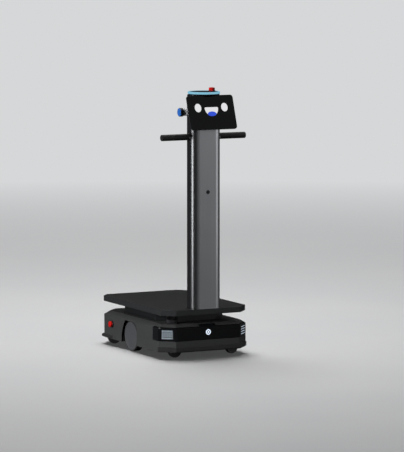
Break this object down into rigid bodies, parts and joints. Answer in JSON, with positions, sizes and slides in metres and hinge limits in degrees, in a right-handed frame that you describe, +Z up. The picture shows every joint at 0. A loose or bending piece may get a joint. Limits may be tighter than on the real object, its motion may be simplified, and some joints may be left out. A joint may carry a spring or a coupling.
{
  "type": "autonomous mobile robot",
  "caption": "Low wheeled base with a load deck and an upright column that carries a handlebar, a tilted display, a lamp ring and stop and call buttons.",
  "frame": {"origin": "on the floor under the middle of the whole robot's box", "axes": "+Z up, -Y to the front where the display faces, +X to the right seen from the front"},
  "size_m": [0.533, 0.852, 1.365],
  "materials": {
    "body_grey": "satin dark grey moulded cover",
    "window_black": "gloss black window strip",
    "bumper_black": "matt black rubber",
    "chassis_steel": "zinc plated steel",
    "tray_black": "matt black",
    "led_white": "lit white lenses on a black carrier",
    "battery_case": "matt black case",
    "controller_case": "natural finned case",
    "contact_copper": "copper strips on a black block",
    "pedestal_black": "black powder coat",
    "scanner_black": "satin black",
    "scanner_window": "dark smoked window",
    "deck_grey": "dark grey coating on aluminium",
    "deck_mat": "dark satin load surface",
    "column_aluminium": "brushed and anodised, vertical grain",
    "column_black": "black powder coat",
    "cast_shoe": "rough cast",
    "button_steel": "dark nickel",
    "tube_steel": "plated tube",
    "grip_black": "black grip rubber",
    "display_black": "gloss black front glass",
    "display_case": "satin black case",
    "head_black": "gloss black",
    "ring_cyan": "lit cyan diffuser",
    "stop_cup": "satin black",
    "stop_red": "satin red",
    "call_silver": "turned and anodised",
    "call_black": "satin black",
    "call_blue": "blue cap",
    "hub_grey": "satin grey disc",
    "tyre_black": "black rubber",
    "motor_steel": "satin black housing",
    "caster_steel": "bright zinc",
    "caster_rubber": "black wheel"
  },
  "bodies": {
    "base": {"left_side_panel": "body_grey", "right_side_panel": "body_grey", "rear_panel": "body_grey", "top_cover": "body_grey", "front_fascia": "body_grey", "front_window": "window_black", "front_camera": "window_black", "front_bumper": "bumper_black", "rear_bumper": "bumper_black", "chassis_plate": "chassis_steel", "bottom_tray": "tray_black", "left_led_matrix": "led_white", "right_led_matrix": "led_white", "status_light": "led_white", "battery_pack": "battery_case", "drive_controller": "controller_case", "charge_contacts": "contact_copper", "pedestal": "pedestal_black", "scanner_bodies": "scanner_black", "scanner_windows": "scanner_window", "deck_frame": "deck_grey", "deck_mat": "deck_mat", "column_front": "column_aluminium", "column_rear": "column_black", "handle_collars": "column_black", "column_foot": "cast_shoe", "power_bezel": "button_steel", "handle_tube": "tube_steel", "left_grip": "grip_black", "right_grip": "grip_black", "display_glass": "display_black", "display_housing": "display_case", "display_bracket": "display_case", "head_base": "head_black", "head_top": "head_black", "light_ring": "ring_cyan", "top_stop_cup": "stop_cup", "side_stop_cups": "stop_cup", "call_collar": "call_silver", "call_ring": "call_black", "left_motor": "motor_steel", "right_motor": "motor_steel", "caster_plates": "caster_steel"},
    "left_wheel": {"left_tyre": "tyre_black", "left_hub": "hub_grey"},
    "right_wheel": {"right_tyre": "tyre_black", "right_hub": "hub_grey"},
    "top_stop": {"top_stop_button": "stop_red"},
    "left_stop": {"left_stop_button": "stop_red"},
    "right_stop": {"right_stop_button": "stop_red"},
    "call_key": {"call_button": "call_blue"},
    "power_key": {"power_button": "button_steel"},
    "front_left_swivel": {"front_left_caster_fork": "caster_steel"},
    "front_left_roller": {"front_left_caster_wheel": "caster_rubber"},
    "front_right_swivel": {"front_right_caster_fork": "caster_steel"},
    "front_right_roller": {"front_right_caster_wheel": "caster_rubber"},
    "rear_left_swivel": {"rear_left_caster_fork": "caster_steel"},
    "rear_left_roller": {"rear_left_caster_wheel": "caster_rubber"},
    "rear_right_swivel": {"rear_right_caster_fork": "caster_steel"},
    "rear_right_roller": {"rear_right_caster_wheel": "caster_rubber"}
  },
  "joints": [
    {"name": "left_wheel_spin", "type": "hinge", "parent": "base", "child": "left_wheel", "pos_m": [-0.224, 0.036, 0.078], "axis": [1, 0, 0], "continuous": true},
    {"name": "right_wheel_spin", "type": "hinge", "parent": "base", "child": "right_wheel", "pos_m": [0.224, 0.036, 0.078], "axis": [1, 0, 0], "continuous": true},
    {"name": "front_left_caster_swivel", "type": "hinge", "parent": "base", "child": "front_left_swivel", "pos_m": [-0.163, -0.264, 0.082], "axis": [0, 0, 1], "continuous": true},
    {"name": "front_left_caster_roll", "type": "hinge", "parent": "front_left_swivel", "child": "front_left_roller", "pos_m": [-0.1451, -0.26588, 0.035], "axis": [-0.1045, -0.9945, 0], "continuous": true},
    {"name": "front_right_caster_swivel", "type": "hinge", "parent": "base", "child": "front_right_swivel", "pos_m": [0.163, -0.264, 0.082], "axis": [0, 0, 1], "continuous": true},
    {"name": "front_right_caster_roll", "type": "hinge", "parent": "front_right_swivel", "child": "front_right_roller", "pos_m": [0.1809, -0.26212, 0.035], "axis": [0.1045, -0.9945, 0], "continuous": true},
    {"name": "rear_left_caster_swivel", "type": "hinge", "parent": "base", "child": "rear_left_swivel", "pos_m": [-0.18, 0.328, 0.082], "axis": [0, 0, 1], "continuous": true},
    {"name": "rear_left_caster_roll", "type": "hinge", "parent": "rear_left_swivel", "child": "rear_left_roller", "pos_m": [-0.1979, 0.32988, 0.035], "axis": [0.1045, 0.9945, 0], "continuous": true},
    {"name": "rear_right_caster_swivel", "type": "hinge", "parent": "base", "child": "rear_right_swivel", "pos_m": [0.18, 0.328, 0.082], "axis": [0, 0, 1], "continuous": true},
    {"name": "rear_right_caster_roll", "type": "hinge", "parent": "rear_right_swivel", "child": "rear_right_roller", "pos_m": [0.16213, 0.32581, 0.035], "axis": [-0.1219, 0.9925, 0], "continuous": true},
    {"name": "top_stop_press", "type": "slide", "parent": "base", "child": "top_stop", "axis": [0, 0, -1], "range_m": [0, 0.0045]},
    {"name": "left_stop_press", "type": "slide", "parent": "base", "child": "left_stop", "axis": [1, 0, 0], "range_m": [0, 0.0045]},
    {"name": "right_stop_press", "type": "slide", "parent": "base", "child": "right_stop", "axis": [-1, 0, 0], "range_m": [0, 0.0045]},
    {"name": "call_button_press", "type": "slide", "parent": "base", "child": "call_key", "axis": [1, 0, 0], "range_m": [0, 0.003], "stiffness_N_per_m": 250},
    {"name": "power_button_press", "type": "slide", "parent": "base", "child": "power_key", "axis": [0, 1, 0], "range_m": [0, 0.002], "stiffness_N_per_m": 200}
  ]
}
